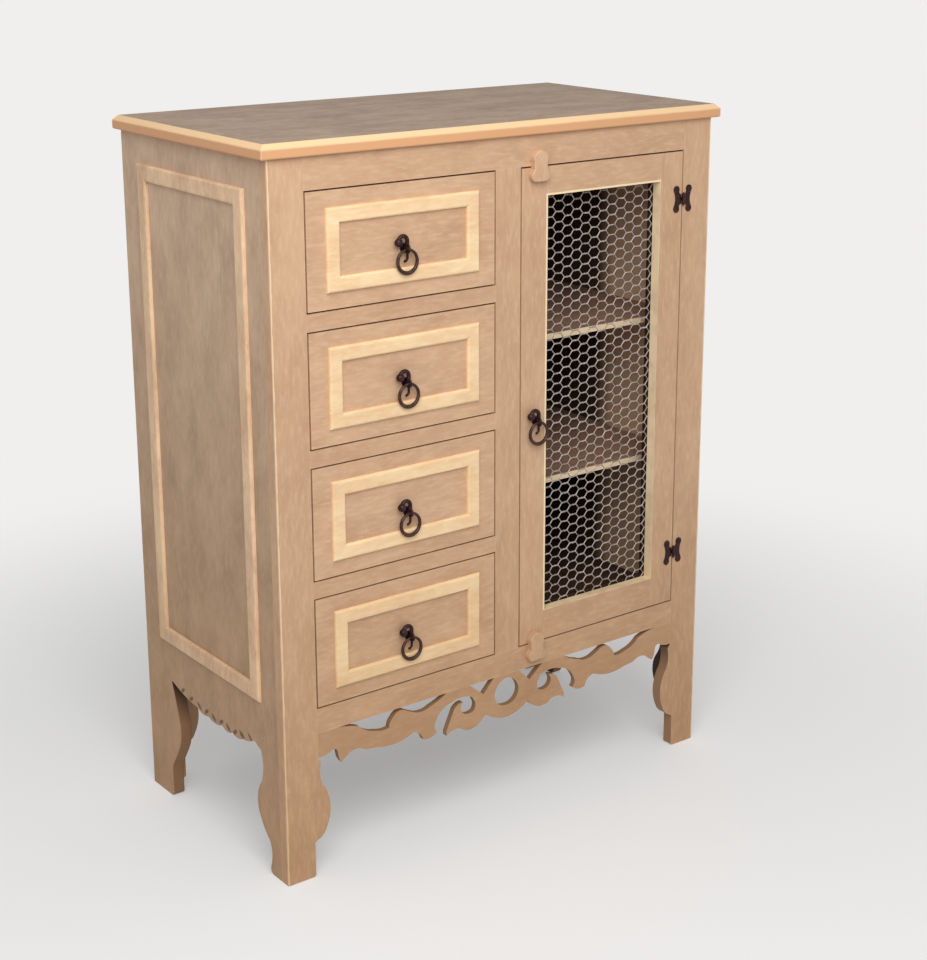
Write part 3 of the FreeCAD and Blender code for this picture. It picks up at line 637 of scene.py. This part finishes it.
@dataclass(frozen=True)
class CastIron:
    """Sand-cast iron browned with age: nearly black, satin, with faint rust in patches and a soft grit."""

    name: str = "cast_iron_browned"
    body: str = "2E1A1B"
    rust: str = "52302B"
    roughness: float = 0.30
    rust_roughness: float = 0.22
    metal: float = 0.72
    patch_size: float = 7.0
    grit_size: float = 0.9

    def make(self) -> Material:
        """Build the material.

        Returns:
            The finished material.
        """
        material, tree = blank_material(self.name)
        place = coordinates(tree)
        patch = noise(tree, place, detail=4.0, roughness=0.65, size=self.patch_size)
        colour = blend(tree, remap(tree, patch, 0.48, 0.70), linear(self.body), linear(self.rust))
        rough = remap(tree, patch, 0.35, 0.7, self.roughness, self.roughness + self.rust_roughness)
        grit = noise(tree, place, size=self.grit_size)
        coat(tree, {"Base Color": colour, "Metallic": self.metal, "Roughness": rough,
                    "Normal": relief(tree, grit, strength=0.4, depth=0.1)})
        return material


@dataclass(frozen=True)
class ZincWire:
    """Galvanised wire, drawn and twisted: a pale dull grey with brighter spots where the zinc is fresh."""

    name: str = "galvanised_wire"
    body: str = "B4AAA2"
    dull: str = "8C837C"
    spot_size: float = 12.0

    def make(self) -> Material:
        """Build the material.

        Returns:
            The finished material.
        """
        material, tree = blank_material(self.name)
        spots = noise(tree, coordinates(tree), detail=3.0, size=self.spot_size)
        colour = blend(tree, remap(tree, spots, 0.35, 0.65), linear(self.dull), linear(self.body))
        coat(tree, {"Base Color": colour, "Metallic": 0.25, "Roughness": 0.5})
        return material


# Modelling helpers


def select(*items: Object) -> None:
    """Leave object mode and select these objects only, with the first one active.

    Args:
        items: The objects, or none to clear the selection.
    """
    if bpy.context.object and bpy.context.object.mode != "OBJECT":
        bpy.ops.object.mode_set(mode="OBJECT")
    bpy.ops.object.select_all(action="DESELECT")
    for item in items:
        item.select_set(True)
    if items:
        bpy.context.view_layer.objects.active = items[0]


def settle() -> None:
    """Write the place, turn and scale of the selected objects into their meshes."""
    bpy.ops.object.transform_apply(location=True, rotation=True, scale=True)


def join(items: list[Object], name: str) -> Object:
    """Join mesh objects into one.

    Args:
        items: The meshes; the first one takes in the rest.
        name: The name of the joined object.

    Returns:
        The joined object, with its place in its mesh.
    """
    select(*items)
    bpy.ops.object.join()
    settle()
    items[0].name = items[0].data.name = name
    return items[0]


def apply_modifier(item: Object, kind: str, **settings: object) -> None:
    """Add one modifier to a mesh and apply it.

    Args:
        item: The mesh object.
        kind: The modifier's type.
        settings: The modifier's properties.
    """
    select(item)
    modifier = item.modifiers.new(kind.lower(), kind)
    for name, value in settings.items():
        setattr(modifier, name, value)
    bpy.ops.object.modifier_apply(modifier=modifier.name)


def dress(names: Iterable[str], material: Material) -> None:
    """Give CAD nodes a material in place of the one they came with.

    Args:
        names: The nodes.
        material: The finish.
    """
    for name in names:
        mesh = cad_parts[name].data
        mesh.materials.clear()
        mesh.materials.append(material)


# The object's parts


@dataclass
class Carcase:
    """The frame, sides, back, shelves, plinth and top."""

    outer_stiles: tuple[str, ...] = ("front_stile_left", "front_stile_right", "back_stile_left", "back_stile_right")
    rails: tuple[str, ...] = ("front_rail_top", "front_rail_bottom", "drawer_rail_1", "drawer_rail_2",
                              "drawer_rail_3", "back_rail_bottom")
    sides: tuple[str, ...] = ("side_left", "side_right")
    side_mouldings: tuple[str, ...] = ("side_moulding_left", "side_moulding_right")
    shelves: tuple[str, ...] = ("shelf_1", "shelf_2")
    front_corner: tuple[float, float] = (390.0, -196.1)

    def painted(self) -> list[tuple[tuple[str, ...], RubbedPaint]]:
        """Pair the boards that show with their paint.

        Returns:
            Names of nodes, each with the finish that they share.
        """
        return [
            # The stiles' and the fret's sawn edges carry painted shade, and painted shadow under the apron
            (self.outer_stiles, SawnPaint("rubbed_paint_stile", Grain.Z, arris=self.front_corner, seed=1.0)),
            (("front_centre_stile",), RubbedPaint("rubbed_paint_upright", Grain.Z, seed=1.4)),
            (self.rails, RubbedPaint("rubbed_paint_rail", Grain.X, seed=2.0)),
            (("front_fret",), SawnPaint("rubbed_paint_fret", Grain.X, body="CBA380", shade="BE9673", light="D6AF8D",
                                        sawn_edge_and_shade="AF8D70", apron_shadow="A08064", wear_width=1.6, seed=2.6)),
            # The sides darken from near the top down to the floor, painted shade, and carry more painted shade
            # inside and at the hollows
            (self.sides, SidePaint("rubbed_paint_side", Grain.Z, body="E0C1A4", shade="C4A58A", light="EACDB2",
                                   thickness_axis="X", span_axis="Y", outer=165.0, low_shade="D0C1AC",
                                   low_shade_reach=(1040.0, 60.0), seed=4.0)),
            (self.side_mouldings, RubbedPaint("rubbed_moulding_side", Grain.Z, body="F9D5AE", shade="D6AE8B",
                                              light="FFE3C0", worn="FFE3BA", wear=0.9, seed=5.0)),
            (("top_board",), TopPaint("rubbed_paint_top", Grain.X, body="AA917B", shade="8C7461", light="BDA58F",
                                      worn="F6D6AC", wear=1.0, wear_width=4.0, seed=6.0))]

    def stained(self) -> list[tuple[tuple[str, ...], StainedWood]]:
        """Pair the boards inside with their stain.

        Returns:
            Names of nodes, each with the finish that they share.
        """
        return [
            (("divider",), StainedWood("brown_stain_divider", Grain.Z, body="B08A70", shade="8A6953")),
            (("drawer_runners",), StainedWood("dark_stain_runner", Grain.Y)),
            (("bottom_board",), StainedWood("brown_stain_bottom", Grain.X, body="5E4433", shade="432E21")),
            # The back panel's inner face is near black: painted shade
            (("back_panel",), StainedWood("brown_stain_back_painted_shade", Grain.Z, body="6B4C38", shade="553A2A",
                                          front="0E0908")),
            (self.shelves, StainedWood("brown_stain_shelf", Grain.X, body="B8917A", shade="94705C",
                                       front="FFE4BE"))]

    def dress(self) -> None:
        """Give every board of the carcase its finish."""
        boards = 0
        for names, finish in self.painted() + self.stained():
            dress(names, finish.make())
            boards += len(names)
        LOG.info("carcase: %d boards dressed", boards)


@dataclass
class Drawers:
    """Four drawers with raised mouldings."""

    count: int = 4

    def dress(self) -> None:
        """Give the drawers' fronts, mouldings and boxes their finishes."""
        inner = StainedWood("dark_stain_drawer", Grain.Y, body="8A6547", shade="6B4B33").make()
        for number in range(1, self.count + 1):
            front = RubbedPaint(f"rubbed_paint_drawer_{number}", Grain.X, body="DBB491", light="E9C7A6", wear=0.55,
                                seed=10.0 + number).make()
            band = RubbedPaint(f"rubbed_moulding_drawer_{number}", Grain.X, body="FFDFB0", shade="EFC596",
                               light="FFECCA", worn="FFEBC6", wear=0.5, seed=20.0 + number).make()
            dress([f"drawer_{number}_front"], front)
            dress([f"drawer_{number}_moulding"], band)
            dress([f"drawer_{number}_box", f"drawer_{number}_bottom"], inner)
            LOG.info("drawer %d: front, moulding and box dressed", number)


@dataclass
class WovenNet:
    """The hexagonal net of twisted wire in the door, with level twists and slanting single wires.

    Lengths are in mm, the turn of a twist between two of its steps is in degrees, and the lead is the share of a
    column by which the net starts before its plate.
    """

    column_step: float = 17.1
    cell_height: float = 15.2
    twist_length: float = 11.8
    twist_steps: int = 7
    twist_turn: float = 60.0
    twist_sides: int = 6
    twist_oval: float = 0.56
    wire: float = 1.6
    wire_sides: int = 5
    overlap: float = 0.3
    lead: float = 0.4
    margin: float = 1.2
    unevenness: float = 1.1
    unevenness_size: float = 20.0

    def twist(self, x: float, z: float) -> Object:
        """Model the twist of two wires that lies between one cell and the next.

        Args:
            x: Middle of the twist, in mm.
            z: Height of the twist, in mm.

        Returns:
            The twist, as a closed mesh.
        """
        select()
        start = Vector((x - self.twist_length / 2, 0, z)) * MM
        bpy.ops.mesh.primitive_circle_add(vertices=self.twist_sides, radius=self.wire * MM, fill_type="NGON",
                                          location=start, rotation=(0, math.radians(-90), 0))
        item = bpy.context.object
        settle()
        bpy.ops.object.mode_set(mode="EDIT")
        bpy.ops.mesh.select_all(action="SELECT")
        bpy.ops.transform.resize(value=(1, self.twist_oval, 1), center_override=start)
        step = self.twist_length * MM / self.twist_steps
        for number in range(self.twist_steps):
            bpy.ops.mesh.extrude_region_move(TRANSFORM_OT_translate={"value": (step, 0, 0)})
            here = (start.x + step * (number + 1), start.y, start.z)
            bpy.ops.transform.rotate(value=math.radians(self.twist_turn), orient_axis="X", center_override=here)
        bpy.ops.mesh.select_all(action="SELECT")
        bpy.ops.mesh.normals_make_consistent(inside=False)
        bpy.ops.object.mode_set(mode="OBJECT")
        return item

    def slant(self, start: Vector, end: Vector) -> Object:
        """Model one single wire from a twist to the next.

        Args:
            start: Where the wire leaves its twist, in mm.
            end: Where it enters the next one, in mm.

        Returns:
            The wire, as a closed mesh.
        """
        select()
        run = end - start
        bpy.ops.mesh.primitive_cylinder_add(vertices=self.wire_sides, radius=self.wire / 2 * MM,
                                            depth=run.length * MM, location=(start + end) / 2 * MM,
                                            rotation=run.to_track_quat("Z", "Y").to_euler())
        item = bpy.context.object
        settle()
        return item

    def cell(self) -> Object:
        """Model the piece of net that repeats: two twists, each with the two wires that leave it.

        Returns:
            The piece, as one mesh.
        """
        half = self.twist_length / 2
        rise = self.cell_height / 2
        parts = []
        for column in (0, 1):
            x, z = column * self.column_step, column * rise
            parts.append(self.twist(x, z))
            for way in (-1, 1):
                parts.append(self.slant(Vector((x + half - self.overlap, 0, z)),
                                        Vector((x + self.column_step - half + self.overlap, 0, z + way * rise))))
        return join(parts, "door_net")

    def build(self, low: Vector, high: Vector, material: Material) -> Object:
        """Model the net over the space of its plate.

        Args:
            low: Lowest corner of the plate, in metres.
            high: Highest corner of the plate, in metres.
            material: The wire's finish.

        Returns:
            The net.
        """
        net = self.cell()
        across, up = metres(self.column_step * 2, self.cell_height)
        # One column and two rows more than fill the plate; the cuts below take off what is too much
        columns = math.ceil((high.x - low.x) / across) + 1
        rows = math.ceil((high.z - low.z) / up) + 2
        for count, offset in ((columns, (across, 0, 0)), (rows, (0, 0, up))):
            apply_modifier(net, "ARRAY", count=count, use_relative_offset=False, use_constant_offset=True,
                           constant_offset_displace=offset)
        select(net)
        net.location = (low.x - self.column_step * MM * self.lead, (low.y + high.y) / 2, low.z - up)
        settle()
        clouds = bpy.data.textures.new("net_unevenness", "CLOUDS")
        clouds.noise_scale = self.unevenness_size * MM
        for axis, reach in (("X", self.unevenness * 2), ("Z", self.unevenness * -2)):
            apply_modifier(net, "DISPLACE", texture=clouds, texture_coords="GLOBAL", direction=axis,
                           mid_level=0.5, strength=reach * MM)
        bpy.ops.object.mode_set(mode="EDIT")
        edge = self.margin * MM
        for point, outward in (((low.x + edge, 0, 0), (-1, 0, 0)), ((high.x - edge, 0, 0), (1, 0, 0)),
                               ((0, 0, low.z + edge), (0, 0, -1)), ((0, 0, high.z - edge), (0, 0, 1))):
            bpy.ops.mesh.select_all(action="SELECT")
            bpy.ops.mesh.bisect(plane_co=point, plane_no=outward, clear_outer=True, use_fill=True)
        bpy.ops.object.mode_set(mode="OBJECT")
        net.data.materials.append(material)
        return net


@dataclass
class Door:
    """The door with its wire net and beads."""

    frame_uprights: tuple[str, ...] = ("door_stile_left", "door_stile_right")
    frame_rails: tuple[str, ...] = ("door_rail_top", "door_rail_bottom")

    def dress(self) -> None:
        """Dress the door's frame and hang the net in it."""
        dress(self.frame_uprights, DoorPaint("rubbed_paint_door_stile", Grain.Z, seed=31.0).make())
        dress(self.frame_rails, DoorPaint("rubbed_paint_door_rail", Grain.X, seed=32.0).make())
        dress(["door_mesh_beads"], StainedWood("dark_stain_bead", Grain.Z).make())
        low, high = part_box("door_mesh")
        net = WovenNet().build(low, high, ZincWire().make())
        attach(net, "door_body")
        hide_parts("door_mesh")
        LOG.info("door: frame dressed, net of %d faces", len(net.data.polygons))


@dataclass
class Ironwork:
    """Ring pulls and butterfly hinges of browned iron, and the painted turn buttons with their screws.

    The swell gives a ring's thickness at its four points, against the wire's, with its foot last.
    """

    pulls: tuple[str, ...] = ("drawer_1", "drawer_2", "drawer_3", "drawer_4", "door")
    hinges: tuple[str, ...] = ("door_hinge_leaves", "hinge_leaves_frame")
    buttons: tuple[str, ...] = ("turn_button_top", "turn_button_bottom", "turn_button_screws")
    wire: float = 2.0
    swell: tuple[float, float, float, float] = (1.18, 1.0, 1.18, 1.45)
    swell_ahead: float = 0.9
    round_steps: int = 4
    ring_steps: int = 14

    def ring(self, name: str, material: Material) -> None:
        """Forge one ring, thin where it hangs in its eye and swelling to its foot.

        Args:
            name: The pull that the ring belongs to.
            material: The iron's finish.
        """
        low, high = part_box(f"{name}_ring")
        radius = (high.x - low.x) / 2 - self.wire * MM
        select()
        bpy.ops.curve.primitive_bezier_circle_add(radius=radius, location=(0, 0, 0))
        item = bpy.context.object
        item.data.bevel_depth = self.wire * MM
        item.data.bevel_resolution = self.round_steps
        item.data.resolution_u = self.ring_steps
        item.data.twist_mode = "Z_UP"
        most = max(self.swell) - 1.0
        for point, swell in zip(item.data.splines[0].bezier_points, self.swell):
            point.radius = swell
            ahead = Vector((0, 0, self.swell_ahead * (swell - 1.0) / most * MM))
            for handle in ("co", "handle_left", "handle_right"):
                setattr(point, handle, getattr(point, handle) + ahead)
        item.rotation_euler = (math.radians(90), 0, 0)
        item.location = (low + high) / 2
        bpy.ops.object.convert(target="MESH")
        settle()
        bpy.ops.object.shade_smooth()
        item = bpy.context.object
        item.name = item.data.name = f"{name}_forged_ring"
        item.data.materials.clear()
        item.data.materials.append(material)
        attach(item, f"{name}_ring_body")
        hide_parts(f"{name}_ring")

    def dress(self) -> None:
        """Give the ironwork and the turn buttons their finishes."""
        iron = CastIron().make()
        handled = CastIron("cast_iron_handled", body="432C27", rust="66463A", roughness=0.32).make()
        dress([f"{name}_pull" for name in self.pulls], iron)
        for name in self.pulls:
            self.ring(name, handled)
            LOG.info("%s: pull dressed and ring forged", name)
        dress(self.hinges, iron)
        dress(self.buttons, RubbedPaint("rubbed_paint_button", Grain.Z, body="DAB391", light="E4C09F", wear=0.8,
                                        seed=41.0).make())
        LOG.info("ironwork: %d pulls, hinges and buttons dressed", len(self.pulls))


# Floor, light and camera


@dataclass(frozen=True)
class Lamp:
    """One square soft lamp aimed at the middle of the object. Lengths are in metres and the power is in watts."""

    name: str
    place: tuple[float, float, float]
    size: float
    power: float
    aim: tuple[float, float, float] = (0.0, 0.0, 0.6)

    def hang(self) -> None:
        """Hang the lamp in its place."""
        data = bpy.data.lights.new(self.name, "AREA")
        data.shape = "SQUARE"
        data.size = self.size
        data.energy = self.power
        item = bpy.data.objects.new(self.name, data)
        bpy.context.scene.collection.objects.link(item)
        item.location = self.place
        item.rotation_euler = (Vector(self.aim) - Vector(self.place)).to_track_quat("-Z", "Y").to_euler()


@dataclass(frozen=True)
class Viewpoint:
    """Where the photograph was taken from: lens and middle in pixels, place in mm and angles in degrees."""

    focal: float = 1831.1
    middle: tuple[float, float] = (505.0, 396.0)
    picture: tuple[int, int] = (927, 960)
    position: tuple[float, float, float] = (-1572.6, -2209.9, 1355.2)
    yaw: float = 37.899
    pitch: float = -15.321
    roll: float = 0.173
    sensor: float = 36.0

    def turn(self) -> Matrix:
        """Work out how the camera is turned.

        Returns:
            The rotation.
        """
        yaw, pitch, roll = (math.radians(angle) for angle in (self.yaw, self.pitch, self.roll))
        ahead = Vector((math.sin(yaw) * math.cos(pitch), math.cos(yaw) * math.cos(pitch), math.sin(pitch)))
        level = Vector((math.cos(yaw), -math.sin(yaw), 0))
        upright = level.cross(ahead)
        right = level * math.cos(roll) + upright * math.sin(roll)
        above = upright * math.cos(roll) - level * math.sin(roll)
        return Matrix((right, above, -ahead)).transposed().to_4x4()

    def set_camera(self) -> None:
        """Set up the camera."""
        data = bpy.data.cameras.new("camera")
        item = bpy.data.objects.new("camera", data)
        bpy.context.scene.collection.objects.link(item)
        bpy.context.scene.camera = item
        width, height = self.picture
        long_side = max(width, height)
        data.sensor_fit = "AUTO"
        data.sensor_width = self.sensor
        data.lens = self.focal / long_side * self.sensor
        data.shift_x = (width / 2 - self.middle[0]) / long_side
        data.shift_y = (self.middle[1] - height / 2) / long_side
        item.matrix_world = Matrix.Translation(Vector(self.position) * MM) @ self.turn()


@dataclass
class Studio:
    """A pale floor under soft light, and the camera at the photograph's angle. Lengths are in metres."""

    floor_colour: str = "D6D6D6"
    floor_glow: float = 0.26
    floor_size: float = 40.0
    floor_drop: float = 0.0005
    fade: tuple[float, float] = (0.45, 1.7)
    sky_colour: str = "F0EFEE"
    ambient: float = 0.38
    lamps: tuple[Lamp, ...] = (Lamp("key_light", (-1.0, -1.62, 2.2), 1.7, 43.0),
                               Lamp("fill_light", (1.4, -3.2, 1.6), 2.4, 4.0))
    view: Viewpoint = Viewpoint()

    def floor(self) -> None:
        """Lay the floor, lit a little from within, which keeps a soft shadow and fades into the backdrop."""
        select()
        bpy.ops.mesh.primitive_plane_add(size=self.floor_size, location=(0, 0, -self.floor_drop))
        plane = bpy.context.object
        plane.name = "floor"
        material, tree = blank_material("floor_paper")
        shader = put(tree, "BsdfPrincipled", {"Base Color": linear(self.floor_colour), "Roughness": 0.9,
                                              "Specular IOR Level": 0.1, "Emission Color": linear("FFFFFF"),
                                              "Emission Strength": self.floor_glow})
        away = put(tree, "VectorMath", {0: coordinates(tree)}, operation="LENGTH").outputs["Value"]
        far = remap(tree, away, *self.fade, interpolation_type="SMOOTHSTEP")
        clear = put(tree, "BsdfTransparent")
        mixed = put(tree, "MixShader", {0: far, 1: shader.outputs["BSDF"], 2: clear.outputs[0]})
        put(tree, "OutputMaterial", {"Surface": mixed.outputs[0]})
        plane.data.materials.append(material)

    def light(self) -> None:
        """Set the world's even light, the backdrop that shows behind the object, and the lamps."""
        world = bpy.data.worlds.new("studio")
        bpy.context.scene.world = world
        world.use_nodes = True
        tree = world.node_tree
        tree.nodes.clear()
        path = put(tree, "LightPath").outputs
        seen = maths(tree, "MAXIMUM", path["Is Camera Ray"], path["Is Glossy Ray"])
        seen = maths(tree, "MAXIMUM", seen, path["Is Transmission Ray"])
        even = put(tree, "Background", {"Color": linear("FFFFFF"), "Strength": self.ambient})
        backdrop = put(tree, "Background", {"Color": linear(self.sky_colour), "Strength": 1.0})
        mixed = put(tree, "MixShader", {0: seen, 1: even.outputs[0], 2: backdrop.outputs[0]})
        put(tree, "OutputWorld", {"Surface": mixed.outputs[0]})
        for lamp in self.lamps:
            lamp.hang()

    def build(self) -> None:
        """Set up the floor, the light, the camera and the view."""
        self.floor()
        self.light()
        self.view.set_camera()
        bpy.context.scene.view_settings.view_transform = "Standard"
        LOG.info("studio: floor, light and camera set")


def main() -> None:
    """Dress and build every part."""
    logging.basicConfig(level=logging.INFO, format="%(message)s")
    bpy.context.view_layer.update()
    Carcase().dress()
    Drawers().dress()
    Door().dress()
    Ironwork().dress()
    Studio().build()


if __name__ == "__main__":
    main()
